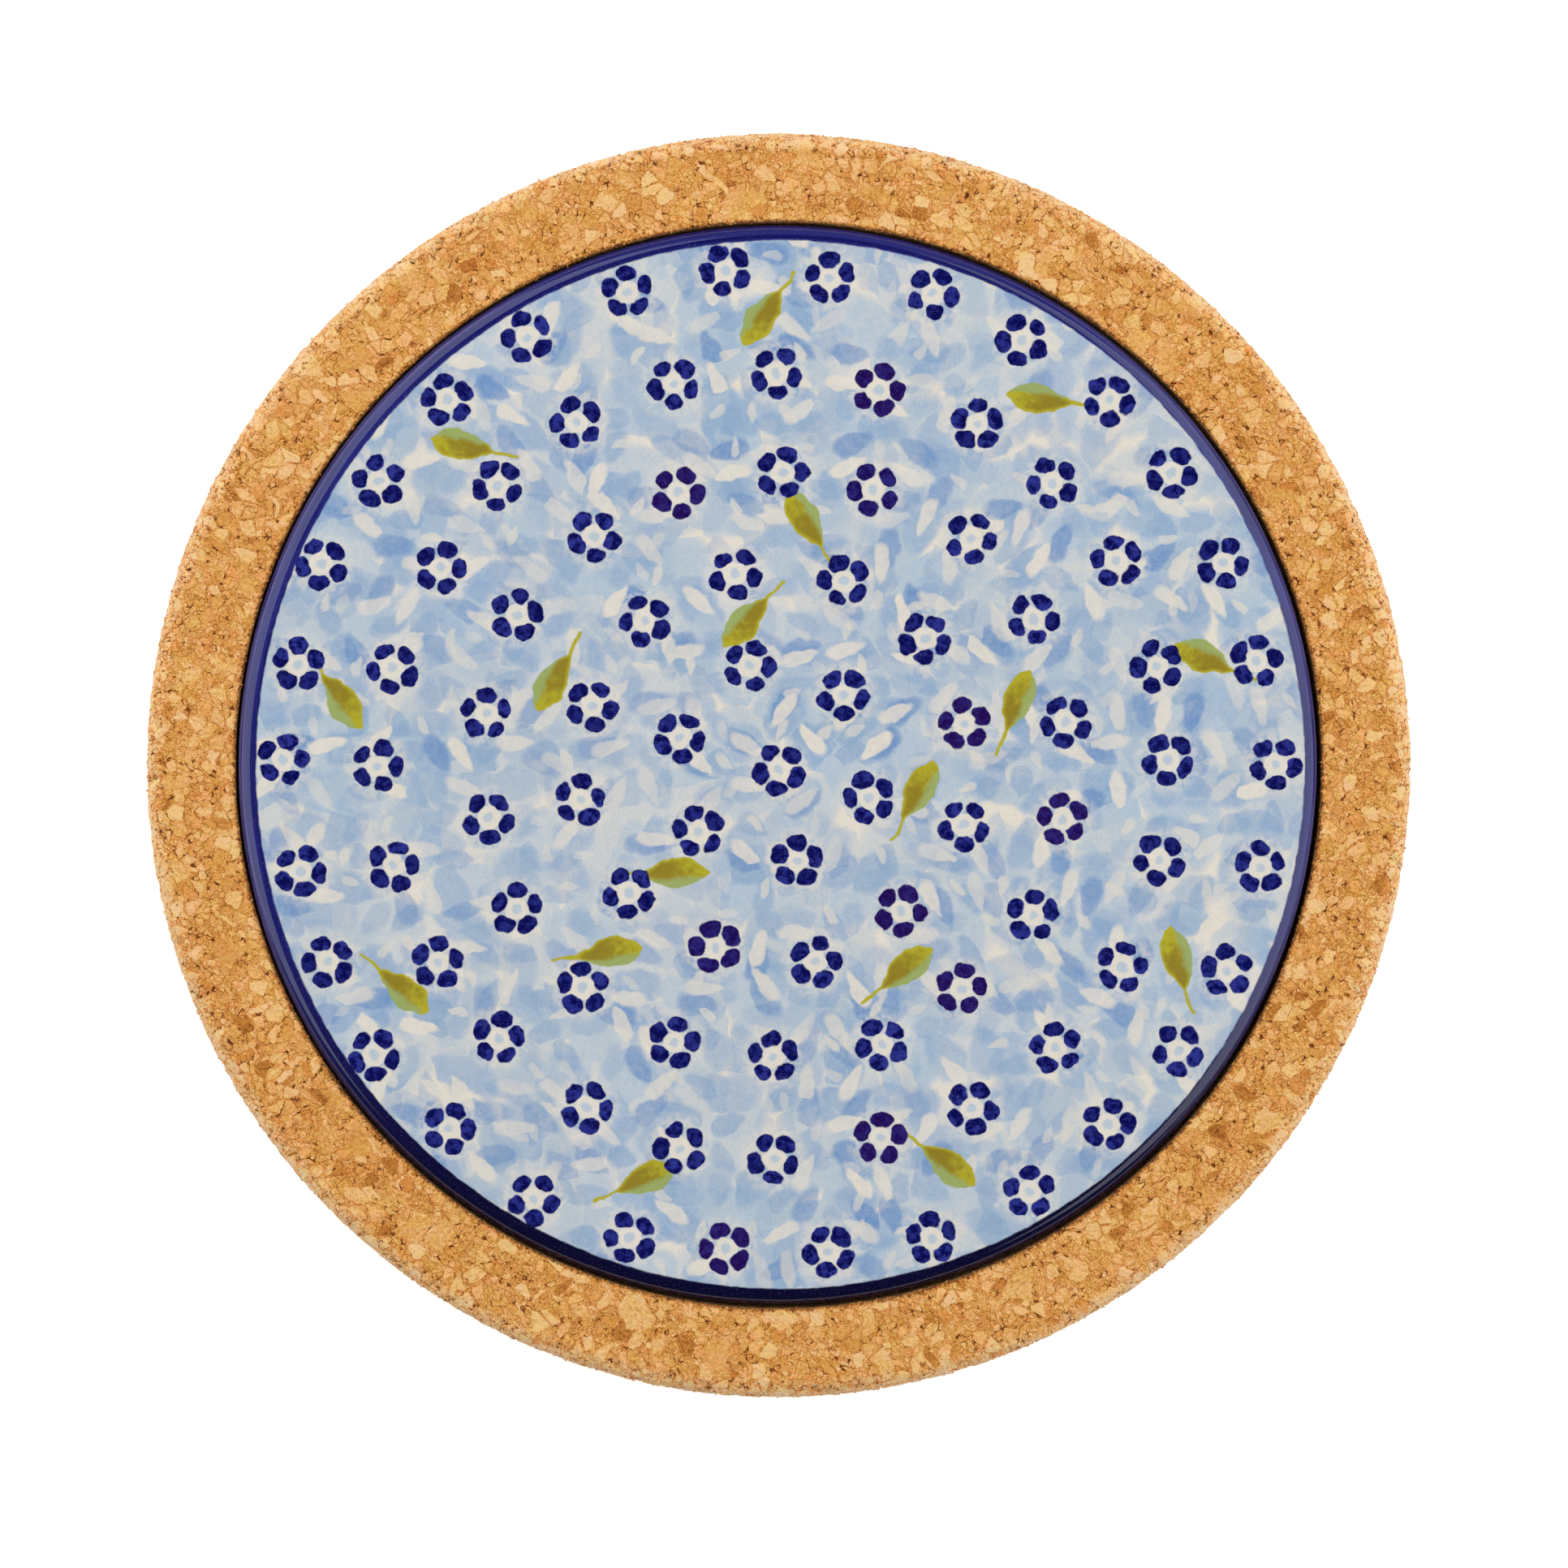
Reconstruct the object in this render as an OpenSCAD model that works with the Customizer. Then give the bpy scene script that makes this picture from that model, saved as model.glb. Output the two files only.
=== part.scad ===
// Round table trivet: a glazed stoneware plate that lies loose in a cork base.
// Millimetres, +Z up, origin at the centre of the cork's underside.

/* [Ceramic plate] */
// Diameter of the plate across its rounded edge
plate_d = 179.2; // [120:0.2:240]
// Thickness of the plate above its foot ring
plate_t = 7; // [6:0.5:12]
// Radius that rounds the top face into the side, where the painted band lies
plate_top_r = 2.4; // [1:0.1:4]
// Radius that rounds the side into the underside
plate_low_r = 1.6; // [0.5:0.1:3]

/* [Foot ring of the plate] */
// Distance from the plate's edge in to the foot ring's outer side
foot_inset = 9.6; // [4:0.2:20]
// Width of the foot ring
foot_w = 6; // [3:0.5:12]
// Height of the foot ring below the plate's underside
foot_h = 2; // [1.8:0.1:4]
// Radius on the two lower edges of the foot ring
foot_edge_r = 0.8; // [0.2:0.1:1]
// Radius of the two fillets between the foot ring and the underside
foot_fillet_r = 1; // [0.4:0.1:1.2]

/* [Cork base] */
// Width of the cork rim round the recess
cork_rim_w = 14.8; // [8:0.2:30]
// Thickness of the cork floor under the plate
cork_floor_t = 12; // [4:0.5:20]
// Radius on the upper and lower outer edges of the cork
cork_edge_r = 3; // [0.5:0.5:6]
// Radius that breaks the edge of the recess's mouth
mouth_r = 0.4; // [0.2:0.1:1.5]

/* [Fit of the plate in the cork] */
// Clearance all round between the plate and the recess wall
plate_gap = 0.6; // [0.3:0.1:1.5]
// Height by which the plate stands above the cork, so that a wide pan clears the rim
plate_proud = 1; // [0:0.1:3]

/* [Hidden] */
$fn = 180;

// Overrun of the cuts past the faces that they open
cut_over = 1;
// Where the loose plate lies off the recess's centre along X and Y, as shares of the clearance
plate_lie_shares = [-0.33, 0.17];

plate_r = plate_d / 2;
plate_h = foot_h + plate_t;
foot_r = plate_r - foot_inset;
recess_r = plate_r + plate_gap;
recess_depth = plate_h - plate_proud;
cork_r = recess_r + cork_rim_w;
cork_h = cork_floor_t + recess_depth;

// Half-section of a turned disc, from the axis out to r, with its two outer corners rounded
module disc_section(r, h, low_r, top_r) {
    square([r - low_r, h - top_r]);
    translate([0, low_r]) square([r - top_r, h - low_r]);
    translate([0, low_r]) square([r, h - low_r - top_r]);
    translate([r - low_r, low_r]) circle(low_r);
    translate([r - top_r, h - top_r]) circle(top_r);
}

// What a round tool leaves in an inner corner at the origin, between the two positive axes
module fillet_section(r) {
    difference() {
        square(r);
        translate([r, r]) circle(r);
    }
}

// Half-section of the recess, with its mouth flared by the radius of the broken edge
module recess_section() {
    square([recess_r, recess_depth + cut_over]);
    translate([recess_r, recess_depth]) mirror([0, 1]) fillet_section(mouth_r);
    translate([0, recess_depth]) square([recess_r + mouth_r, cut_over]);
}

// Half-section of the foot ring: a bar with rounded lower edges, filleted into the plate's underside
module foot_section() {
    translate([foot_r - foot_w, foot_edge_r]) square([foot_w, foot_h - foot_edge_r + plate_low_r]);
    translate([foot_r - foot_w + foot_edge_r, 0]) square([foot_w - 2 * foot_edge_r, foot_h]);
    for (x = [foot_r - foot_w + foot_edge_r, foot_r - foot_edge_r])
        translate([x, foot_edge_r]) circle(foot_edge_r);
    translate([foot_r, foot_h]) mirror([0, 1]) fillet_section(foot_fillet_r);
    translate([foot_r - foot_w, foot_h]) rotate(180) fillet_section(foot_fillet_r);
}

// Cork block turned to a disc with rounded edges, and milled out for the plate
module cork_base() {
    color([0.83, 0.61, 0.36])
        rotate_extrude()
            difference() {
                disc_section(cork_r, cork_h, cork_edge_r, cork_edge_r);
                translate([0, cork_floor_t]) recess_section();
            }
}

// Stoneware plate, thrown with a rounded edge and a low foot ring, lying on the recess's floor
module ceramic_plate() {
    color([0.72, 0.81, 0.91])
        translate([plate_lie_shares.x * plate_gap, plate_lie_shares.y * plate_gap, cork_floor_t])
            rotate_extrude() {
                translate([0, foot_h]) disc_section(plate_r, plate_t, plate_low_r, plate_top_r);
                foot_section();
            }
}

cork_base();
ceramic_plate();
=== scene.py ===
import collections
import math

import bpy
import numpy as np
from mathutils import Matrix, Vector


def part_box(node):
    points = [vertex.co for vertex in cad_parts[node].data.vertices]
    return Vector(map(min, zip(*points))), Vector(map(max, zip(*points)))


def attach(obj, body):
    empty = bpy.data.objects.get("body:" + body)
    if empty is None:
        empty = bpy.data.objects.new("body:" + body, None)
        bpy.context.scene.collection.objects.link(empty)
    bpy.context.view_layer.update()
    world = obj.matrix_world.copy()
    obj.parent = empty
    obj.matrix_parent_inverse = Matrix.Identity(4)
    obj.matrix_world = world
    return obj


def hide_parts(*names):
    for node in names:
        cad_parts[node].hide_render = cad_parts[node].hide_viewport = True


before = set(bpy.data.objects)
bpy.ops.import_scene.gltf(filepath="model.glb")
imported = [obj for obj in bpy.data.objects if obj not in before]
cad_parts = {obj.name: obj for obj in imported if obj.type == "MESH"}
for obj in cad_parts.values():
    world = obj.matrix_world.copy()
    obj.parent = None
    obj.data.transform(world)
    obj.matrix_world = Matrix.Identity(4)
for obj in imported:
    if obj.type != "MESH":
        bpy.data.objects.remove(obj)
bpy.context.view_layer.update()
MM = 0.001


# Photographer's table: the trivet lies on a white table under a long lens that looks straight down.
# A wide soft box stands close on its left and on its right, and a weak one beyond it. The table
# has a round opening, hidden under the trivet, through which the underside shows from below.
LENS_MM = 100
SENSOR_MM = 36
# size of the photograph, and where and how large the cork is in it
PHOTO_PX = 1932
CORK_CENTRE_PX = (959.4, 943.0)
CORK_RADIUS_PX = 777.9
# depth below the cork's top at which its outline is widest as the camera sees it
SCALE_DEPTH = 2.2 * MM
TABLE_R = 5.0
TABLE_SIDES = 128
WHITE = (1, 1, 1, 1)
TABLE_WHITE = (244, 244, 244)
# how strong the table's glow is round the trivet, and the distances between which it grows to 1
TABLE_GLOW = 0.55
TABLE_GLOW_GROWS = (0.20, 0.80)
TABLE_OPENING_R = 0.1015
# how far the table lies below the trivet
TABLE_BELOW = 0.1 * MM
# brightness of the room overhead, at eye level and below, and the sines of the elevations between
# which each of them gives way to the next
ROOM_ABOVE = 0.05
ROOM_WALLS = 1.0
ROOM_BELOW = 0.90
WALLS_BEGIN = (0.16, 0.07)
FLOOR_BEGINS = (0.0, -0.2)
# watts that a square metre of a soft box needs to look white
SOFT_BOX_POWER = 4
SOFT_BOXES = (
    # name, bearing in degrees, distance, height of its middle, width, tall, brightness (1 is white)
    ("soft_box_left", 158, 0.70, 0.50, 1.45, 1.20, 1.30),
    ("soft_box_right", 5, 0.70, 0.60, 1.80, 1.20, 1.30),
    ("soft_box_beyond", 90, 0.90, 0.50, 0.90, 0.70, 0.12),
)


def paint(red, green, blue):
    """A colour as the eye sees it, in steps of 0 to 255, turned into the linear values of a shader."""
    seen = np.array([red, green, blue]) / 255
    linear = np.where(seen <= 0.04045, seen / 12.92, ((seen + 0.055) / 1.055) ** 2.4)
    return (*(float(x) for x in linear), 1.0)


class Field:
    """A number or a place that varies over a surface: one socket of a node tree.
    Arithmetic with fields and plain numbers adds the Math nodes that work it out."""

    def __init__(self, socket):
        self.socket = socket

    def calc(self, operation, *others):
        made = add_node(self.socket.id_data, "Math", (self, *others), operation=operation)
        return Field(made.outputs[0])

    def __add__(self, other):
        return self.calc("ADD", other)

    def __sub__(self, other):
        return self.calc("SUBTRACT", other)

    def __mul__(self, other):
        return self.calc("MULTIPLY", other)

    def __truediv__(self, other):
        return self.calc("DIVIDE", other)

    def __rsub__(self, other):
        return self * -1 + other

    __radd__ = __add__
    __rmul__ = __mul__


def add_node(tree, kind, inputs=(), **options):
    """Adds a shader node with its options. The inputs are given in order, or by name or number,
    each as a field that is linked in or as a plain value."""
    node = tree.nodes.new("ShaderNode" + kind)
    for option, value in options.items():
        setattr(node, option, value)
    for key, value in inputs.items() if isinstance(inputs, dict) else enumerate(inputs):
        if isinstance(value, Field):
            tree.links.new(value.socket, node.inputs[key])
        else:
            node.inputs[key].default_value = value
    return node


def rise(field, start, end):
    """0 where the field is at start, 1 where it is at end, and a smooth S in between."""
    made = add_node(
        field.socket.id_data,
        "MapRange",
        {"Value": field, "From Min": start, "From Max": end},
        interpolation_type="SMOOTHSTEP",
    )
    return Field(made.outputs["Result"])


def split(way):
    """The three coordinates of a place, or the three parts of a colour."""
    return [Field(n) for n in add_node(way.socket.id_data, "SeparateXYZ", (way,)).outputs]


def distance(place):
    """How far a place lies from the middle, which is at (0, 0, 0)."""
    made = add_node(place.socket.id_data, "VectorMath", (place,), operation="LENGTH")
    return Field(made.outputs["Value"])


def place_on(tree):
    """The places on the object that has this material, in metres."""
    return Field(add_node(tree, "TexCoord").outputs["Object"])


def new_material(name):
    """A material with an empty tree, as (material, tree)."""
    material = bpy.data.materials.new(name)
    material.use_nodes = True
    material.node_tree.nodes.clear()
    return material, material.node_tree


def table_white():
    """White lacquer that keeps the trivet's shadow: a diffuse white, and a glow that only the camera
    and mirrored rays see, which lifts the open table to the white of the photograph."""
    material, tree = new_material("white_table")
    path = add_node(tree, "LightPath")
    seen = Field(path.outputs["Is Camera Ray"])
    for mirrored in ("Is Glossy Ray", "Is Transmission Ray"):
        seen = seen.calc("MAXIMUM", Field(path.outputs[mirrored]))
    white = add_node(tree, "BsdfDiffuse", {"Color": paint(*TABLE_WHITE)})
    strength = TABLE_GLOW + (1 - TABLE_GLOW) * rise(distance(place_on(tree)), *TABLE_GLOW_GROWS)
    glow = add_node(tree, "Emission", {"Strength": seen * strength})
    both = add_node(tree, "AddShader", (Field(white.outputs[0]), Field(glow.outputs[0])))
    tree.links.new(both.outputs[0], add_node(tree, "OutputMaterial").inputs["Surface"])
    return material


cork_low, cork_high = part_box("cork_base")
cork_r = (cork_high.x - cork_low.x) / 2
metres_per_px = cork_r / CORK_RADIUS_PX

camera = bpy.data.objects.new("camera", bpy.data.cameras.new("camera"))
camera.data.lens = LENS_MM
camera.data.sensor_width = SENSOR_MM
camera.location = (
    (PHOTO_PX / 2 - CORK_CENTRE_PX[0]) * metres_per_px,
    (CORK_CENTRE_PX[1] - PHOTO_PX / 2) * metres_per_px,
    cork_high.z - SCALE_DEPTH + PHOTO_PX * metres_per_px * LENS_MM / SENSOR_MM,
)
bpy.context.scene.collection.objects.link(camera)
bpy.context.scene.camera = camera

angles = np.arange(TABLE_SIDES) * 2 * np.pi / TABLE_SIDES
circle = np.stack([np.cos(angles), np.sin(angles), 0 * angles], -1)
inner_corners = np.arange(TABLE_SIDES)
next_corners = (inner_corners + 1) % TABLE_SIDES
table_sides = [inner_corners, inner_corners + TABLE_SIDES, next_corners + TABLE_SIDES, next_corners]
table_mesh = bpy.data.meshes.new("table")
table_mesh.from_pydata(
    np.concatenate([TABLE_OPENING_R * circle, TABLE_R * circle]) - (0, 0, TABLE_BELOW),
    [],
    np.stack(table_sides, -1),
)
table_mesh.materials.append(table_white())
table = bpy.data.objects.new("table", table_mesh)
bpy.context.scene.collection.objects.link(table)

for name, bearing, away, height, width, tall, brightness in SOFT_BOXES:
    lamp = bpy.data.lights.new(name, "AREA")
    lamp.shape = "RECTANGLE"
    lamp.size, lamp.size_y = width, tall
    lamp.energy = SOFT_BOX_POWER * width * tall * brightness
    box = bpy.data.objects.new(name, lamp)
    toward = math.radians(bearing)
    box.location = (math.cos(toward) * away, math.sin(toward) * away, height)
    box.rotation_euler = (-box.location).to_track_quat("-Z", "Y").to_euler()
    bpy.context.scene.collection.objects.link(box)

room = bpy.data.worlds.new("room")
room.use_nodes = True
direction = Field(add_node(room.node_tree, "TexCoord").outputs["Generated"])
upward = split(direction)[2]
room_light = ROOM_ABOVE + (ROOM_WALLS - ROOM_ABOVE) * rise(upward, *WALLS_BEGIN)
room_light = room_light + (ROOM_BELOW - ROOM_WALLS) * rise(upward, *FLOOR_BEGINS)
background = room.node_tree.nodes["Background"]
background.inputs["Color"].default_value = WHITE
room.node_tree.links.new(room_light.socket, background.inputs["Strength"])
bpy.context.scene.world = room
bpy.context.scene.view_settings.view_transform = "Standard"


# Cork base: one block of cork granules pressed together with a binder, turned to a disc with
# rounded edges and milled out for the plate. Its cut granules show as a fine, slightly pitted
# mosaic of creams, tans and browns, with dark cracks where the binder left a gap.
PLATE_GAP = 0.6 * MM
EDGE_R = 3.0 * MM
MOUTH_R = 0.4 * MM
# how many points go round the cork, and how far apart they lie along its outline, seen and hidden
COLUMNS = 960
VISIBLE_STEP = 0.5 * MM
HIDDEN_STEP = 9.0 * MM
# pitches of the small, middle and large granules, and of the flaws between them, in mm
GRANULE_PITCHES = (1.0, 2.3, 4.6, 1.5)
# share of the middle cells, the large cells and the flaws that stay empty
MIDDLE_EMPTY = 0.38
LARGE_EMPTY = 0.86
FLAWS_EMPTY = 0.30
# how far in mm, at most, the middle and the large granules keep from the sides of their cells
MIDDLE_KEPT_IN = 0.3
LARGE_KEPT_IN = 0.9
# over how little a sharp rise is complete
SHARP = 0.01
# half width of a crack in mm, what a flaw adds to it, and how dark the seam of a middle granule is
# beside it
CRACK_HALF = 0.09
FLAW_ADDS = 0.12
SEAM_DARK = 0.9
# in mm: height from the lowest granules to the proudest, and depths of a crack and a pit
GRANULES_DIFFER = 0.12
CRACK_DEPTH = 0.06
PIT_DEPTH = 0.20
# how much the granules are pressed flat, and how far their sides waver, in mm
PRESSED = 1.25
RAGGED = 0.9
# shade of plain cork, as a place on the ramp that follows
PLAIN_SHADE = 0.80
CORK_SHADES = (
    # from the bottom of a pit, over cracks and brown granules, to the palest flakes
    (0.00, (92, 34, 8)),
    (0.12, (124, 58, 14)),
    (0.26, (163, 92, 29)),
    (0.40, (194, 121, 47)),
    (0.52, (212, 139, 61)),
    (0.64, (224, 155, 74)),
    (0.76, (233, 170, 91)),
    (0.88, (241, 184, 110)),
    (1.00, (253, 204, 141)),
)
# tints that the shades are multiplied by, and the palest colour allowed, in a shader's values
ORANGE_TINT = (1.01, 0.91, 0.84, 1)
CREAM_TINT = (0.99, 1.02, 1.00, 1)
ROSY_TINT = (1.015, 0.985, 1.08, 1)
OLIVE_TINT = (0.985, 1.005, 0.90, 1)
# dust and painted glare: this tint pales the cork's outer edge
DUST_AND_GLARE_TINT = (1.11, 1.08, 1.19, 1)
# painted glare: this tint pales the last mm of the rounded top edge
RIM_GLARE_TINT = (1.21, 1.17, 1.34, 1)
PALEST_CORK = (0.95, 0.67, 0.43)
CORK_SHEEN = (248, 212, 160)
# where the cork is torn, pale with dust and painted glare, and pale with painted glare on its rim:
# from the first to the second distance outwards from its outer edge, and upwards from its top face, in
# mm
TORN_BAND = (-2.4, -0.6)
DUST_AND_GLARE_BAND = (-3.4, -1.4)
RIM_GLARE_BAND = (-1.5, -0.3)
RIM_GLARE_HEIGHTS = (-12.0, -3.0)
# where painted light lifts it, where it is chipped, and where painted shade darkens it round the recess,
# outwards from the recess's wall, in mm
PAINTED_LIGHT_MOUTH_BAND = (2.5, 1.0)
CHIPPED_BAND = (1.4, 0.4)
PAINTED_SHADE_BAND = (0.45, 0.05)
CORK_RELIEF = {
    # part of the outline: how much rougher than the flat face it is, how far it may stand proud in mm
    "underside": (0.8, 0.0),
    "low edge": (2.0, 0.15),
    "side": (2.8, 0.22),
    "top edge": (2.8, 0.22),
    "face": (1.0, 0.06),
    "mouth": (1.6, 0.08),
    "wall": (1.2, 0.0),
    "floor": (0.8, 0.0),
}
SWIRL_WAVES = (
    # reach of the swirl and its wavelength, in mm
    (0.45, 9.0),
    (0.22, 4.1),
)
SWIRL_SLANT = 0.37

plate_low, plate_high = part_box("ceramic_plate")
plate_r = (plate_high.x - plate_low.x) / 2
recess_r = plate_r + PLATE_GAP


def arc(centre, radius, start, end, step):
    """Points (r, z) on an arc about centre, from one angle to another in degrees, about a step apart."""
    count = max(3, round(abs(math.radians(end - start)) * radius / step))
    turn = np.radians(np.linspace(start, end, count + 1))
    return np.stack([centre[0] + radius * np.cos(turn), centre[1] + radius * np.sin(turn)], -1)


def stretch(start, end, step):
    """Points (r, z) on a straight line between two points, both left out, about a step apart."""
    start, end = np.array(start, float), np.array(end, float)
    count = max(1, round(float(np.linalg.norm(end - start)) / step))
    return start + (end - start) * (np.arange(1, count) / count)[:, None]


def turned(outline, columns):
    """Points of a solid of revolution and their outward normals, as arrays [row, column, xyz].
    Row i is the outline's point (r, z) i; column j is the turn j / columns of a circle."""
    turn = np.arange(columns) * 2 * np.pi / columns
    around = np.stack([np.cos(turn), np.sin(turn)], -1)
    slope = np.gradient(outline, axis=0)
    slope /= np.linalg.norm(slope, axis=1, keepdims=True)
    r, z = outline[:, None, :1], outline[:, None, 1:]
    points = np.concatenate([r * around, np.broadcast_to(z, (len(outline), columns, 1))], -1)
    out, up = slope[:, None, 1:], -slope[:, None, :1]
    normals = np.concatenate([out * around, np.broadcast_to(up, (len(outline), columns, 1))], -1)
    return points, normals


def turned_mesh(name, points):
    """A closed mesh from turned points. The first and the last row shrink to one pole each;
    between them each square of the grid is a face, and triangles close the poles."""
    rows, columns = points.shape[:2]
    inner = points[1:-1].reshape(-1, 3)
    poles = points[[0, -1]].mean(1)
    corners = np.concatenate([inner, poles])
    this = np.arange(columns)
    following = (this + 1) % columns
    start = (np.arange(rows - 3) * columns)[:, None]
    beyond = start + columns
    squares = np.stack([start + this, start + following, beyond + following, beyond + this], -1)
    first, last = len(inner), len(inner) + 1
    top = (rows - 3) * columns
    caps = [
        np.stack([np.full(columns, first), following, this], -1),
        np.stack([np.full(columns, last), top + this, top + following], -1),
    ]
    mesh = bpy.data.meshes.new(name)
    mesh.vertices.add(len(corners))
    mesh.vertices.foreach_set("co", corners.astype(np.float32).ravel())
    loops = np.concatenate([squares.ravel(), caps[0].ravel(), caps[1].ravel()])
    sizes = np.concatenate([np.full(squares.size // 4, 4), np.full(2 * columns, 3)])
    mesh.loops.add(len(loops))
    mesh.loops.foreach_set("vertex_index", loops.astype(np.int32))
    mesh.polygons.add(len(sizes))
    mesh.polygons.foreach_set("loop_start", (np.cumsum(sizes) - sizes).astype(np.int32))
    mesh.update(calc_edges=True)
    mesh.polygons.foreach_set("use_smooth", np.ones(len(sizes), bool))
    return mesh


def swirled(place):
    """Places in mm, flattened as pressing flattens the granules, then pushed sideways by
    smooth sine waves, so that no granule keeps a straight side."""
    place = place * (1, 1, PRESSED)
    for reach, wave in SWIRL_WAVES:
        turned_axes = place[:, [1, 2, 0]] + SWIRL_SLANT * place[:, [2, 0, 1]]
        place = place + reach * np.sin(turned_axes * 2 * np.pi / wave)
    return place


def turned_left(word, bits):
    """A word of 32 bits, with its bits moved round to the left."""
    return (word << np.uint32(bits)) | (word >> np.uint32(32 - bits))


def hashed(*words):
    """The integer hash by which the Voronoi node scatters its cells: three or four words are
    stirred into one by rounds of subtracting, turning and crossing out bits."""
    seed = np.uint32(0xDEADBEEF + 4 * len(words) + 13)
    a, b, c = (seed + word for word in words[:3])
    if len(words) == 4:
        for bits in (4, 6, 8, 16, 19, 4):
            a, c = (a - c) ^ turned_left(c, bits), c + b
            a, b, c = b, c, a
        a = a + words[3]
    a, b, c = c, a, b
    for bits in (14, 11, 25, 16, 4, 14, 24):
        a = (a ^ c) - turned_left(c, bits)
        a, b, c = b, c, a
    return c


def cell_numbers(cubes):
    """Three random numbers from 0 to 1 for each unit cube, given by its lowest corner."""
    x, y, z = np.moveaxis((cubes + np.float32(0)).view(np.uint32), -1, 0)
    one, two = (np.full_like(x, np.float32(n).view(np.uint32)) for n in (1, 2))
    with np.errstate(over="ignore"):
        words = hashed(x, y, z), hashed(x, y, z, one), hashed(x, y, z, two)
    return np.stack(words, -1) / float(0xFFFFFFFF)


def granules(place, pitch):
    """The cells that the Voronoi node makes at the same places, a pitch apart, in mm: the three
    random numbers of each place's cell, its distance to the cell's seed, and to its nearest side.
    A seed is its cube's corner plus its random numbers, and a side is halfway between two seeds."""
    at = place / pitch
    steps = np.array(np.meshgrid(*[(-1, 0, 1)] * 3)).reshape(3, -1).T
    cubes = (np.floor(at)[:, None] + steps).astype(np.float32)
    numbers = cell_numbers(cubes)
    ways = cubes + numbers - at[:, None]
    far = np.linalg.norm(ways, axis=-1)
    own = far.argmin(1)[:, None]
    own_way = np.take_along_axis(ways, own[..., None], 1)
    across = ways - own_way
    apart = np.linalg.norm(across, axis=-1)
    np.put_along_axis(apart, own, 1, 1)
    to_side = ((ways + own_way) * across).sum(-1) / 2 / apart
    np.put_along_axis(to_side, own, np.inf, 1)
    own_numbers = np.take_along_axis(numbers, own[..., None], 1)[:, 0]
    return own_numbers, far.min(1) * pitch, to_side.min(1) * pitch


GranuleCells = collections.namedtuple("GranuleCells", "pick size tone far side")
CutCork = collections.namedtuple("CutCork", "tone hue crack pit relief island")


def smooth_rise(value, start, end):
    """0 where the value is at start, 1 where it is at end, and a smooth S in between, for arrays."""
    share = np.clip((value - start) / (end - start), 0, 1)
    return share * share * (3 - 2 * share)


def cells_in_mesh(place, pitch):
    """The granules of one size at an array of places."""
    numbers, far, side = granules(place, pitch)
    return GranuleCells(*numbers.T, far, side)


def cells_in_finish(place, pitch):
    """The same granules as fields of the material."""
    tree = place.socket.id_data
    settings = {"Vector": place, "Scale": 1 / pitch}
    own = add_node(tree, "TexVoronoi", settings)
    edge = add_node(tree, "TexVoronoi", settings, feature="DISTANCE_TO_EDGE")
    numbers = add_node(tree, "SeparateColor", {"Color": Field(own.outputs["Color"])}).outputs
    far, side = (Field(n.outputs["Distance"]) * pitch for n in (own, edge))
    return GranuleCells(*(Field(n) for n in numbers), far, side)


def cork_pattern(cells, risen):
    """What the cut cork shows at each place, the same for the mesh and for the material:
    tone and hue (which granule), crack (1 in a gap between granules), pit (1 in a hole), relief in mm
    and island (1 on a middle or large granule). Those lie as islands among the small ones, and cracks
    widen to pits near flaws."""
    small, middle, large, flaw = cells
    inside = middle.side - MIDDLE_KEPT_IN * middle.size
    picked = risen(middle.pick, MIDDLE_EMPTY, MIDDLE_EMPTY + SHARP)
    in_middle = picked * risen(inside, 0.0, 0.07)
    in_large = risen(large.pick, LARGE_EMPTY, LARGE_EMPTY + SHARP)
    in_large = in_large * risen(large.side - LARGE_KEPT_IN * large.size, 0.05, 0.15)
    island = in_middle + in_large - in_middle * in_large
    near_flaw = (1 - risen(flaw.far, 0.1, 0.8)) * risen(flaw.pick, FLAWS_EMPTY, FLAWS_EMPTY + SHARP)
    width = CRACK_HALF + FLAW_ADDS * near_flaw
    crack = (1 - risen(small.side, 0.25 * width, width)) * (1 - island)
    seam = picked * risen(inside, -0.12, 0.0) * (1 - risen(inside, 0.0, 0.13)) * (1 - in_large)
    crack = crack + (1 - crack) * SEAM_DARK * seam
    pit = (1 - risen(small.side, 0.05 * near_flaw, 0.15 * near_flaw + SHARP)) * (1 - island)
    pit = pit * risen(near_flaw, 0.25, 0.50)
    tone = small.tone + (middle.tone - small.tone) * in_middle
    tone = tone + (large.tone - tone) * in_large
    hue = small.pick + (middle.size - small.pick) * in_middle
    hue = hue + (large.size - hue) * in_large
    relief = GRANULES_DIFFER * (hue - 0.5) - CRACK_DEPTH * crack - PIT_DEPTH * pit
    return CutCork(tone, hue, crack, pit, relief, island)


def mix_paint(under, over, cover):
    """The colour over laid on the colour under where cover is 1."""
    tree = cover.socket.id_data
    return Field(add_node(tree, "Mix", {0: cover, 6: under, 7: over}, data_type="RGBA").outputs[2])


def new_finish(name):
    """A material with a Principled shader on its output, as (material, tree, shader)."""
    material, tree = new_material(name)
    shader = add_node(tree, "BsdfPrincipled")
    tree.links.new(shader.outputs[0], add_node(tree, "OutputMaterial").inputs["Surface"])
    return material, tree, shader


def noise(place, scale, detail=2.0, roughness=0.5, part="Fac"):
    """Smooth random clouds round 0.5, about scale of them to a unit of place."""
    settings = {"Vector": place, "Scale": scale, "Detail": detail, "Roughness": roughness}
    return Field(add_node(place.socket.id_data, "TexNoise", settings).outputs[part])


def moved(way, operation, by):
    """A place or a colour changed by another one, part by part."""
    made = add_node(way.socket.id_data, "VectorMath", (way, by), operation=operation)
    return Field(made.outputs["Vector"])


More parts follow.
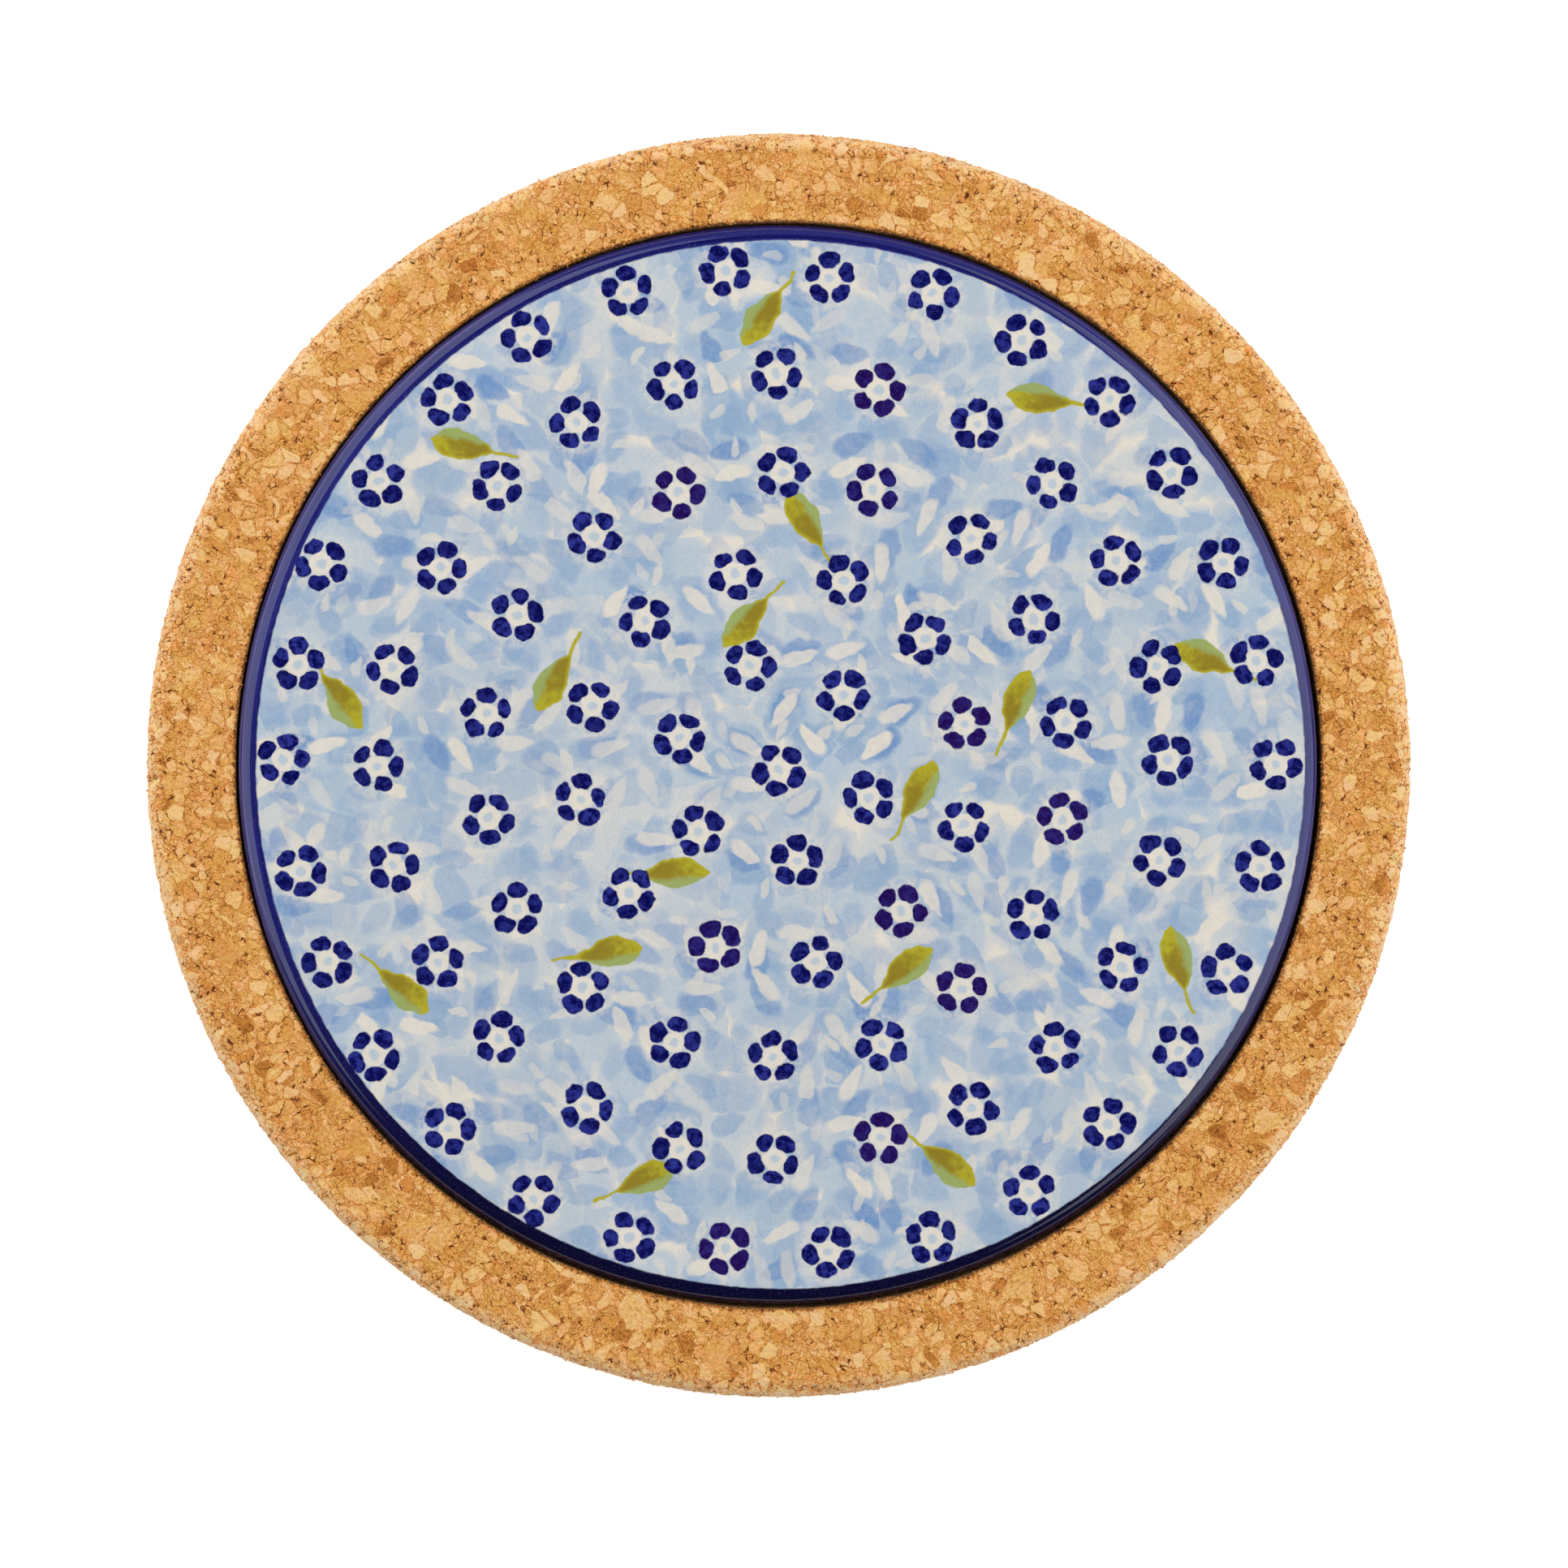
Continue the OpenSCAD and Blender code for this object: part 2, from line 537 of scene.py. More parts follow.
def cork_finish():
    """Agglomerated cork: each granule has a shade of its own, mottled and grained, and leans to orange
    or cream, and each patch to rose or olive. The cracks and pits between granules are dark. The
    sanded outer edge is torn in places and pale with dust and painted glare, the mouth of the recess
    is chipped and lifted by painted light, and painted shade darkens the recess's wall."""
    material, tree, shader = new_finish("agglomerated_cork")
    place = Field(add_node(tree, "Attribute", attribute_name="granule_place").outputs["Vector"])
    push = moved(noise(place, 1.0, 5.0, 0.75, "Color"), "SUBTRACT", (0.5, 0.5, 0.5))
    ragged = moved(place, "ADD", moved(push, "MULTIPLY", (RAGGED, RAGGED, RAGGED)))
    cells = [cells_in_finish(ragged, pitch) for pitch in GRANULE_PITCHES]
    cut = cork_pattern(cells, rise)

    body = place_on(tree)
    height = split(body)[2]
    out = distance(moved(body, "MULTIPLY", (1, 1, 0)))

    def near(edge, start, end):
        """0 at the first distance in mm outwards from an edge, and 1 at the second."""
        return rise(out, edge + start * MM, edge + end * MM)

    torn = near(cork_r, *TORN_BAND) * rise(noise(place, 1.9, 1.0), 0.53, 0.64)
    # dust and painted glare make the cork's outer edge pale
    dust_and_glare = near(cork_r, *DUST_AND_GLARE_BAND)
    # painted glare on the last mm of the rounded top edge, fading down the side
    painted_rim_glare = near(cork_r, *RIM_GLARE_BAND)
    painted_rim_glare = painted_rim_glare * rise(height, *(cork_high.z + up * MM for up in RIM_GLARE_HEIGHTS))
    chipped = near(recess_r, *CHIPPED_BAND) * rise(noise(place, 1.6, 1.0), 0.50, 0.62)
    # painted shade on the recess's wall
    painted_wall_shade = near(recess_r, *PAINTED_SHADE_BAND) * rise(height, plate_low.z, plate_low.z + MM)

    patchy = noise(place, 0.2, 1.0)
    mottle = noise(place, 1.7, 2.0, 0.6)
    grain = noise(place, 4.0, 1.0, 0.6)
    specks = rise(grain, 0.60, 0.68) * rise(mottle, 0.50, 0.60)
    palest = rise(cut.tone, 0.90, 0.94)
    brown = cut.island * rise(cut.tone, 0.08, 0.04)
    broken = cut.crack * rise(mottle, 0.44, 0.58)
    bark = Field(add_node(tree, "Attribute", attribute_name="bark").outputs["Fac"])
    traits = (
        # what there is at a place, and what it adds to the shade
        (cut.tone - 0.5, 0.26),
        (cut.island * (cut.tone - 0.5), 0.14),
        (cut.island - 0.4, 0.05),
        (patchy - 0.5, 0.30),
        (mottle - 0.5, 0.90),
        (grain - 0.5, 1.25),
        (cut.island * (grain - 0.5), -0.45),
        (specks, -0.55),
        (palest, 0.08),
        (brown, -0.24),
        (bark, -0.40),
        (cut.crack, -0.10),
        (broken, -0.46),
        (cut.crack * dust_and_glare, -0.26),
        (cut.pit, -0.55),
        (torn, -0.32),
        # dust and painted glare on the outer edge
        (dust_and_glare, 0.26),
        # painted glare on the rim
        (painted_rim_glare, 0.16),
        # painted light round the mouth of the recess
        (near(recess_r, *PAINTED_LIGHT_MOUTH_BAND), 0.08),
        (chipped, -0.32),
        # painted shade on the recess's wall
        (painted_wall_shade, -0.34),
    )
    shade = PLAIN_SHADE
    for trait, adds in traits:
        shade = shade + adds * trait
    ramp = add_node(tree, "ValToRGB", {"Fac": shade})
    stops = ramp.color_ramp.elements
    for at, _ in CORK_SHADES[1:-1]:
        stops.new(at)
    for stop, (at, seen) in zip(stops, CORK_SHADES):
        stop.position, stop.color = at, paint(*seen)

    warm = mix_paint(WHITE, ORANGE_TINT, rise(cut.hue, 0.55, 0.95))
    tints = (
        mix_paint(warm, CREAM_TINT, rise(cut.hue, 0.40, 0.05)),
        mix_paint(OLIVE_TINT, ROSY_TINT, rise(noise(place, 0.42, 1.0), 0.36, 0.64)),
        # dust and painted glare on the outer edge
        mix_paint(WHITE, DUST_AND_GLARE_TINT, dust_and_glare),
        # painted glare on the rim
        mix_paint(WHITE, RIM_GLARE_TINT, painted_rim_glare),
    )
    colour = Field(ramp.outputs["Color"])
    for tint in tints:
        colour = moved(colour, "MULTIPLY", tint)
    colour = moved(colour, "MINIMUM", PALEST_CORK)
    tree.links.new(colour.socket, shader.inputs["Base Color"])
    shader.inputs["Roughness"].default_value = 0.85
    shader.inputs["Specular IOR Level"].default_value = 0.08
    shader.inputs["Sheen Weight"].default_value = 0.45
    shader.inputs["Sheen Roughness"].default_value = 0.6
    shader.inputs["Sheen Tint"].default_value = paint(*CORK_SHEEN)
    lumps = noise(place, 1.3, 1.0) * -1 + 0.35 * grain
    bump = add_node(tree, "Bump", {"Height": lumps, "Distance": 0.45 * MM, "Strength": 1.0})
    tree.links.new(bump.outputs[0], shader.inputs["Normal"])
    return material


cork_parts = [
    ("underside", [(0, 0)]),
    ("underside", stretch((0, 0), (cork_r - EDGE_R, 0), HIDDEN_STEP)),
    ("low edge", arc((cork_r - EDGE_R, EDGE_R), EDGE_R, -90, 0, VISIBLE_STEP)),
    ("side", stretch((cork_r, EDGE_R), (cork_r, cork_high.z - EDGE_R), VISIBLE_STEP)),
    ("top edge", arc((cork_r - EDGE_R, cork_high.z - EDGE_R), EDGE_R, 0, 90, VISIBLE_STEP)),
    ("face", stretch((cork_r - EDGE_R, cork_high.z), (recess_r + MOUTH_R, cork_high.z), VISIBLE_STEP)),
    ("mouth", arc((recess_r + MOUTH_R, cork_high.z - MOUTH_R), MOUTH_R, 90, 180, VISIBLE_STEP)),
    ("wall", stretch((recess_r, cork_high.z - MOUTH_R), (recess_r, plate_low.z), 2 * VISIBLE_STEP)),
    ("wall", [(recess_r, plate_low.z)]),
    ("floor", stretch((recess_r, plate_low.z), (0, plate_low.z), HIDDEN_STEP)),
    ("floor", [(0, plate_low.z)]),
]
cork_outline = np.concatenate([points for part, points in cork_parts])
cork_points, cork_normals = turned(cork_outline, COLUMNS)
cork_places = swirled(cork_points.reshape(-1, 3) / MM)
cork_cells = [cells_in_mesh(cork_places, pitch) for pitch in GRANULE_PITCHES]
relief = cork_pattern(cork_cells, smooth_rise).relief.reshape(len(cork_outline), COLUMNS, 1)
rough, proud = np.concatenate(
    [np.full((len(points), 2), CORK_RELIEF[part]) for part, points in cork_parts]
).T[..., None, None]
relief = np.minimum(relief * rough + proud / 2, proud)
relief[[0, -1]] = 0
cork_surface = cork_points + cork_normals * relief * MM
cork_surface[..., 2] = np.maximum(cork_surface[..., 2], cork_low.z)
cork_mesh = turned_mesh("cork_block", cork_surface)
place_rows = cork_places.reshape(len(cork_outline), COLUMNS, 3)
corner_places = np.concatenate([place_rows[1:-1].reshape(-1, 3), place_rows[[0, -1]].mean(1)])
cork_mesh.attributes.new("granule_place", "FLOAT_VECTOR", "POINT").data.foreach_set(
    "vector", corner_places.astype(np.float32).ravel()
)
cork_mesh.materials.append(cork_finish())
cork_block = bpy.data.objects.new("cork_block", cork_mesh)
bpy.context.scene.collection.objects.link(cork_block)
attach(cork_block, "cork")
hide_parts("cork_base")


# Cork crumbs: the torn corners and splinters of granules that the cutters leave standing on the
# block's edges, its side and the mouth of the recess. They are cork too, each a small many-sided
# grain, half sunk in the block.
CRUMB_PATCHES = (
    # part of the cork's outline, how many crumbs on it, their largest radius in mm, how rare those are
    ("low edge", 2000, 0.50, 4),
    ("side", 7000, 0.48, 4),
    ("top edge", 8000, 0.45, 3),
    ("face", 1500, 0.24, 4),
    ("mouth", 3600, 0.42, 3),
)
# the smallest crumb as a share of the largest, and how deep a crumb's middle lies in its radii
CRUMB_SMALLEST = 0.3
CRUMB_SUNK = 0.10
CRUMB_SEED = 7
# proportions of a plain crumb and of a splinter, and the share of the crumbs that are splinters
CRUMB_SHAPE = (1.15, 1.0, 0.8)
SPLINTER_SHAPE = (1.6, 0.7, 0.6)
SPLINTERS = 0.2
# shortest reach of a crumb's corner, as a share of its radius, and how much longer others are
CORNER_REACH = 0.75
JAGGED = 0.55
# share of the crumbs that are dark bark, and how far apart, in mm, the crumbs are cut from the cork
BARK_CRUMBS = 0.30
GRAIN_SPREAD = 60.0


def grain_shape():
    """The 6 corners and 8 faces of an octahedron of radius 1: its corners lie both ways along the
    axes, and each face joins one corner of each axis, turned so that it looks outwards."""
    corners = np.concatenate([np.eye(3), -np.eye(3)])
    faces = [(x, y, z) for x in (0, 3) for y in (1, 4) for z in (2, 5)]
    outward = [face if np.linalg.det(corners[list(face)]) > 0 else face[::-1] for face in faces]
    return corners, np.array(outward)


draw = np.random.default_rng(CRUMB_SEED)
grain_corners, grain_faces = grain_shape()
outline_slope = np.gradient(cork_outline, axis=0)
outline_slope /= np.linalg.norm(outline_slope, axis=1, keepdims=True)
patch_rows, patch_sizes = [], []
first_row = 0
for part, points in cork_parts:
    for patch, count, largest, rare in CRUMB_PATCHES:
        if patch == part:
            patch_rows.append(first_row + draw.random(count) * (len(points) - 1))
            share = CRUMB_SMALLEST + (1 - CRUMB_SMALLEST) * draw.random(count) ** rare
            patch_sizes.append(largest * share)
    first_row += len(points)
at_row, size = np.concatenate(patch_rows), np.concatenate(patch_sizes)
crumbs = len(at_row)
rows = np.arange(len(cork_outline))
r, z, out, up = (
    np.interp(at_row, rows, values)
    for values in (cork_outline[:, 0], cork_outline[:, 1], outline_slope[:, 1], -outline_slope[:, 0])
)
turn = draw.random(crumbs) * 2 * np.pi
around = np.stack([np.cos(turn), np.sin(turn), 0 * turn], -1)
upwards = np.array((0, 0, 1))
sunk = CRUMB_SUNK * size * MM
crumb_middles = (r - out * sunk)[:, None] * around + (z - up * sunk)[:, None] * upwards
stretched = np.where(draw.random((crumbs, 1)) < SPLINTERS, SPLINTER_SHAPE, CRUMB_SHAPE)
jagged = CORNER_REACH + JAGGED * draw.random((crumbs, len(grain_corners), 1))
axes = np.linalg.qr(draw.normal(size=(crumbs, 3, 3)))[0]
axes *= np.sign(np.linalg.det(axes))[:, None, None]
from_middle = grain_corners * jagged * stretched[:, None] * size[:, None, None]
from_middle = np.einsum("nij,nkj->nki", axes, from_middle)
crumb_points = crumb_middles[:, None] + from_middle * MM
crumb_points[..., 2] = np.maximum(crumb_points[..., 2], cork_low.z)
crumb_faces = (grain_faces + len(grain_corners) * np.arange(crumbs)[:, None, None]).reshape(-1, 3)
crumb_mesh = bpy.data.meshes.new("cork_crumbs")
crumb_mesh.from_pydata(crumb_points.reshape(-1, 3), [], crumb_faces)
crumb_places = from_middle + GRAIN_SPREAD * draw.random((crumbs, 1, 3))
crumb_mesh.attributes.new("granule_place", "FLOAT_VECTOR", "POINT").data.foreach_set(
    "vector", crumb_places.astype(np.float32).ravel()
)
bark = (draw.random(crumbs) < BARK_CRUMBS).repeat(len(grain_corners))
crumb_mesh.attributes.new("bark", "FLOAT", "POINT").data.foreach_set("value", bark.astype(np.float32))
crumb_mesh.materials.append(cork_mesh.materials[0])
cork_crumbs = bpy.data.objects.new("cork_crumbs", crumb_mesh)
bpy.context.scene.collection.objects.link(cork_crumbs)
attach(cork_crumbs, "cork")


# Ceramic plate: a thrown disc of stoneware on a low turned foot ring, which is left bare and lies on
# the cork. Its face is dabbed with a pale blue wash, navy flowers and olive leaves, its rounded edge
# is banded with navy on the wheel, and a clear glaze covers all but the foot ring.
PLATE_TOP_R = 2.4 * MM
PLATE_LOW_R = 1.6 * MM
FOOT_INSET = 9.6 * MM
FOOT_W = 6.0 * MM
FOOT_H = 2.0 * MM
FOOT_EDGE_R = 0.8 * MM
FOOT_FILLET_R = 1.0 * MM
PLATE_COLUMNS = 480
FACE_STEP = 2.5 * MM
EDGE_STEP = 0.25 * MM
# how far the glaze rises and falls over the face, and its waves, in radians to the metre
GLAZE_SWELL = 0.04 * MM
GLAZE_WAVES = ((210, 90), (-120, 260), (330, 310))
BARE_CLAY = (226, 214, 194)
CLAY_GRIT = (206, 188, 160)
CLAY_IRON = (140, 100, 66)
CREAM = (238, 230, 218)
WASHES = (
    # colour, pitch of the dabs, their half length and half width in mm, share of them laid, cover
    ((184, 203, 222), 9.0, 8.5, 6.0, 1.00, 0.95),
    ((150, 179, 214), 7.4, 5.0, 3.3, 0.85, 0.80),
    ((190, 205, 219), 6.4, 3.9, 2.2, 0.60, 0.75),
    ((140, 172, 211), 5.6, 3.5, 1.9, 0.60, 0.60),
    ((98, 143, 203), 8.4, 3.8, 1.9, 0.50, 0.70),
    (CREAM, 7.8, 3.6, 1.3, 0.66, 0.95),
    ((232, 226, 216), 5.2, 1.9, 0.8, 0.34, 0.75),
)
# how much wider a dab is at one end, where its edge begins and ends, and how strong the faintest is
DAB_TAPER = 0.35
DAB_EDGE = (0.50, 1.14)
DAB_FAINTEST = 0.45
# how far the brush wavers, in mm
WAVER = 1.5
# the rings of flowers: how far apart in mm, how many, how many more flowers in each, the turn from
# one to the next as a share of a circle, and how far a flower strays in mm
FLOWER_PITCH = 16.3
FLOWER_RINGS = 5
FLOWERS_MORE = 6
FLOWER_RING_TURN = 0.13
FLOWER_SPREAD = 2.0
# distances from a flower's middle, in mm, between which its dot and its halo fade, the radius of its
# cream heart, and how soft the heart's edge is
FLOWER_DOT = (0.5, 1.0)
FLOWER_HALO = (4.4, 6.4)
FLOWER_HEART = 1.85
FLOWER_HEART_SOFT = 0.15
# the petals: how many, how far out their middles lie and their half length and half width in mm, the
# least size and what the largest adds to it, as shares, and where their edge begins and ends
PETALS = 5
PETAL_OUT = 3.1
PETAL_HALF = (1.38, 1.78)
PETAL_GROWN = (0.86, 0.26)
PETAL_EDGE = (0.80, 1.12)
INK = (5, 6, 84)
INK_THIN = (46, 54, 146)
INK_PLUM = (44, 8, 88)
LEAF_WREATHS = (
    # radius in mm, how many, turn of the first
    (24.4, 3, 0.21),
    (40.8, 5, 0.06),
    (73.4, 9, 0.02),
)
# half length and half width of a leaf and half width of its stalk in mm, and the stalk's tip and its
# end in the leaf, in half lengths
LEAF_HALF = (5.9, 2.6)
STALK_HALF = 0.42
STALK_TIP = (-1.62, -1.55)
STALK_END = (0.2, 0.0)
# how far a leaf strays outwards and along its wreath in mm, and how far it turns, in radians
LEAF_STRAYS = (3.0, 5.0)
LEAF_TURNS = 2.2
LEAF = (186, 176, 22)
LEAF_DEEP = (144, 122, 0)
LEAF_GREEN = (160, 176, 100)
# in mm: width of the band, how far off the plate's middle it is drawn, how soft its edge is, and the
# depths below the face between which it grows worn and lightened by painted reflection, and is whole
# again
BAND_W = 2.8
BAND_OFF = (0.46, 0.02)
BAND_EDGE_SOFT = 0.17
WORN_GLINT_FROM = (0.35, 1.5)
WORN_GLINT_TO = (3.6, 2.4)
# sines of the bearings between which painted shade darkens the band in front, and between which it is
# whole at the back, with little wear or painted reflection, and how fine its streaks are to a mm across
# it and to a half circle along it
BAND_FRONT = (-0.15, -0.85)
BAND_BACK = (0.70, 0.92)
STREAKS_ACROSS = 1.6
STREAKS_ALONG = 5.0
# the band's colour under painted shade in front, its plain colour, and its colour where wear and painted
# reflection lighten it
BAND_SHADED_FRONT = (8, 6, 48)
BAND_THIN = (40, 42, 122)
BAND_WORN_AND_GLINT = (104, 100, 150)
DUST = (170, 170, 190)
BLACK = (0.0, 0.0, 0.0, 1)


def sectors(out, turn, radius, count, shift):
    """Cuts the circle into count equal sectors, and gives each place as seen from the middle of its
    sector at the radius: how far outwards, how far along the circle, and the sector's number."""
    at = (turn + shift) * count
    number = at.calc("FLOOR")
    swing = (at - number - 0.5) / count * (2 * math.pi)
    return (
        out * swing.calc("COSINE") - radius,
        out * swing.calc("SINE"),
        number.calc("FLOORED_MODULO", count),
    )


def scattered(*numbers):
    """Three random numbers from 0 to 1 for each set of three whole numbers."""
    tree = next(n for n in numbers if isinstance(n, Field)).socket.id_data
    key = Field(add_node(tree, "CombineXYZ", numbers).outputs[0])
    colour = Field(add_node(tree, "TexWhiteNoise", (key,)).outputs["Color"])
    return [Field(n) for n in add_node(tree, "SeparateColor", (colour,)).outputs]


def polar(x, y):
    """Distance from the middle, and the turn about it as a share of a circle."""
    far = (x * x + y * y).calc("SQRT")
    return far, y.calc("ARCTAN2", x) / (2 * math.pi)


def dabs(place, pitch, half_long, half_wide, laid):
    """Brush dabs, one in each Voronoi cell, turned at random: 1 inside its ellipse and 0 outside.
    The share laid of them is there, each with a strength of its own."""
    settings = {"Vector": place, "Scale": 1 / pitch, "Randomness": 0.85}
    cell = add_node(place.socket.id_data, "TexVoronoi", settings, voronoi_dimensions="2D")
    x, y, _ = split(moved(place, "SUBTRACT", Field(cell.outputs["Position"])))
    turn, chance, strength = split(Field(cell.outputs["Color"]))
    angle = turn * (2 * math.pi)
    sine, cosine = angle.calc("SINE"), angle.calc("COSINE")
    along = (x * cosine + y * sine) / half_long
    across = (y * cosine - x * sine) / (half_wide * (1 + DAB_TAPER * along))
    inside = 1 - rise(along * along + across * across, *DAB_EDGE)
    strength = DAB_FAINTEST + (1 - DAB_FAINTEST) * strength
    return inside * rise(chance, laid, laid - 0.001) * strength


def decorated_glaze():
    """The painted decor under a clear glaze. The wash is dabs of blue and cream laid over each other.
    The flowers stand in rings: ring k lies k pitches out and holds 6 k of them, and each is turned
    and moved a little at random. The leaves stand in three wreaths between those rings. The band on
    the edge is darkened in front by painted shade, thin at the back, and on the sides thin, worn and
    lightened by painted reflection."""
    material, tree, shader = new_finish("decorated_glaze")
    middle = (plate_low + plate_high) / 2
    from_middle = moved(place_on(tree), "SUBTRACT", (middle.x, middle.y, 0))
    in_mm = add_node(tree, "VectorMath", {0: from_middle, "Scale": 1 / MM}, operation="SCALE")
    place = Field(in_mm.outputs[0])
    edge_x, edge_y, z = split(place)
    waver_x, waver_y, _ = split(noise(place, 0.42, 3.0, 0.45, "Color"))
    x, y = edge_x + WAVER * (waver_x - 0.5), edge_y + WAVER * (waver_y - 0.5)
    painted = Field(add_node(tree, "CombineXYZ", (x, y, 0.0)).outputs[0])
    out, turn = polar(x, y)
    pigment = noise(place, 0.8, 3.0, 0.6)
    specks = noise(place, 4.5, 1.0, 0.6)

    colour = paint(*CREAM)
    for wash, pitch, half_long, half_wide, laid, cover in WASHES:
        covered = cover * dabs(painted, pitch, half_long, half_wide, laid)
        colour = mix_paint(colour, paint(*wash), covered * (0.45 + 0.7 * pigment + 0.4 * specks))

    ring = (out / FLOWER_PITCH).calc("ROUND").calc("MINIMUM", FLOWER_RINGS)
    in_ring = (FLOWERS_MORE * ring).calc("MAXIMUM", 1)
    outwards, along, number = sectors(out, turn, FLOWER_PITCH * ring, in_ring, FLOWER_RING_TURN * ring)
    one, two, three = scattered(ring, number, 0.0)
    far, way = polar(outwards + FLOWER_SPREAD * (one - 0.5), along + FLOWER_SPREAD * (two - 0.5))
    tip, side, petal = sectors(far, way, PETAL_OUT, PETALS, three)
    grown, inked, _ = scattered(ring, number, petal + 1)
    reach = tip / PETAL_HALF[0]
    spread = side / PETAL_HALF[1]
    grown = PETAL_GROWN[0] + PETAL_GROWN[1] * grown
    petals = 1 - rise((reach * reach + spread * spread) / grown, *PETAL_EDGE)
    heart = 1 - rise(far, FLOWER_HEART - FLOWER_HEART_SOFT, FLOWER_HEART + FLOWER_HEART_SOFT)
    halo = (1 - rise(far, *FLOWER_HALO)) * rise(pigment, 0.38, 0.56)
    colour = mix_paint(colour, paint(*CREAM), 0.55 * halo)
    colour = mix_paint(colour, paint(*CREAM), 0.9 * heart)
    colour = mix_paint(colour, paint(*WASHES[0][0]), 0.8 * (1 - rise(far, *FLOWER_DOT)))
    ink = mix_paint(paint(*INK), paint(*INK_THIN), rise(pigment, 0.40, 0.62) * (0.45 + 0.55 * inked))
    ink = mix_paint(ink, paint(*INK_PLUM), 0.6 * rise(one, 0.80, 0.90))

    for radius, count, shift in LEAF_WREATHS:
        outwards, along, number = sectors(out, turn, radius, count, shift)
        one, two, three = scattered(number, float(count), radius)
        outwards = outwards + LEAF_STRAYS[0] * (one - 0.5)
        along = along + LEAF_STRAYS[1] * (two - 0.5)
        tilt = LEAF_TURNS * (three - 0.5)
        sine, cosine = tilt.calc("SINE"), tilt.calc("COSINE")
        length = (along * cosine + outwards * sine) / LEAF_HALF[0]
        off_rib = outwards * cosine - along * sine
        width = off_rib.calc("ABSOLUTE")
        room = LEAF_HALF[1] * (1 - length * length).calc("MAXIMUM", 0) * (1 + 0.4 * length) - width
        stalk = (STALK_HALF - width) * rise(length, *STALK_TIP) * rise(length, *STALK_END)
        leaf = rise(room.calc("MAXIMUM", stalk), -0.02, 0.28)
        green = rise(off_rib + 1.5 * (pigment - 0.5), 0.3, 1.1)
        deep = rise(room, 0.1, 1.0) * rise(off_rib, 1.6, 0.3)
        deep = deep * rise(length + 2 * (pigment - 0.5), 0.9, -0.2)
        shade = mix_paint(paint(*LEAF), paint(*LEAF_GREEN), green)
        shade = mix_paint(shade, paint(*LEAF_DEEP), 0.9 * deep)
        colour = mix_paint(colour, shade, 0.97 * leaf)

    colour = mix_paint(colour, ink, petals * (1 - heart))

    edge_out, edge_turn = polar(edge_x - BAND_OFF[0], edge_y - BAND_OFF[1])
    inner, below = plate_r / MM - BAND_W, plate_high.z / MM - z
    band = rise(edge_out + 0.5 * (waver_x - 0.5), inner - BAND_EDGE_SOFT, inner + BAND_EDGE_SOFT)
    front = (edge_turn * (2 * math.pi)).calc("SINE")
    back = rise(front, *BAND_BACK)
    band_place = (edge_out * STREAKS_ACROSS, z * STREAKS_ACROSS, front * STREAKS_ALONG)
    streaks = noise(Field(add_node(tree, "CombineXYZ", band_place).outputs[0]), 1.0, 2.0, 0.6)
    # painted shade darkens the band in front
    front_shade = rise(front + 0.5 * (streaks - 0.5), *BAND_FRONT)
    # wear and painted reflection lighten the band low on its rounded edge at the sides, less at the back
    worn_and_glint = rise(below - 1.2 * (streaks - 0.5), *WORN_GLINT_FROM) * rise(below, *WORN_GLINT_TO)
    worn_and_glint = worn_and_glint * (1 - 0.8 * back)
    thin = mix_paint(paint(*BAND_THIN), paint(*BAND_WORN_AND_GLINT), 0.8 * worn_and_glint)
    thin = mix_paint(thin, paint(*INK), 0.6 * rise(streaks, 0.40, 0.66) + 0.2 * back)
    colour = mix_paint(colour, mix_paint(thin, paint(*BAND_SHADED_FRONT), front_shade), band)
    colour = mix_paint(colour, BLACK, 0.10 * rise(specks, 0.45, 0.75))
    colour = mix_paint(colour, paint(*DUST), 0.16 * rise(noise(place, 5.5, 0.0), 0.74, 0.80))
    tree.links.new(colour.socket, shader.inputs["Base Color"])
    shader.inputs["Roughness"].default_value = 0.07
    shader.inputs["IOR"].default_value = 1.5
    shader.inputs["Specular IOR Level"].default_value = 0.5
    return material


def bare_stoneware():
    """Unglazed, fired stoneware: buff, dry and slightly speckled."""
    material, tree, shader = new_finish("bare_stoneware")
    body = place_on(tree)
    grit = noise(body, 1.5 / MM)
    iron = noise(body, 0.7 / MM, 1.0)
    colour = mix_paint(paint(*BARE_CLAY), paint(*CLAY_GRIT), rise(grit, 0.35, 0.75))
    colour = mix_paint(colour, paint(*CLAY_IRON), 0.7 * rise(iron, 0.70, 0.74))
    tree.links.new(colour.socket, shader.inputs["Base Color"])
    shader.inputs["Roughness"].default_value = 0.9
    shader.inputs["Specular IOR Level"].default_value = 0.2
    bump = add_node(tree, "Bump", {"Height": grit, "Distance": 0.1 * MM})
    tree.links.new(bump.outputs[0], shader.inputs["Normal"])
    return material


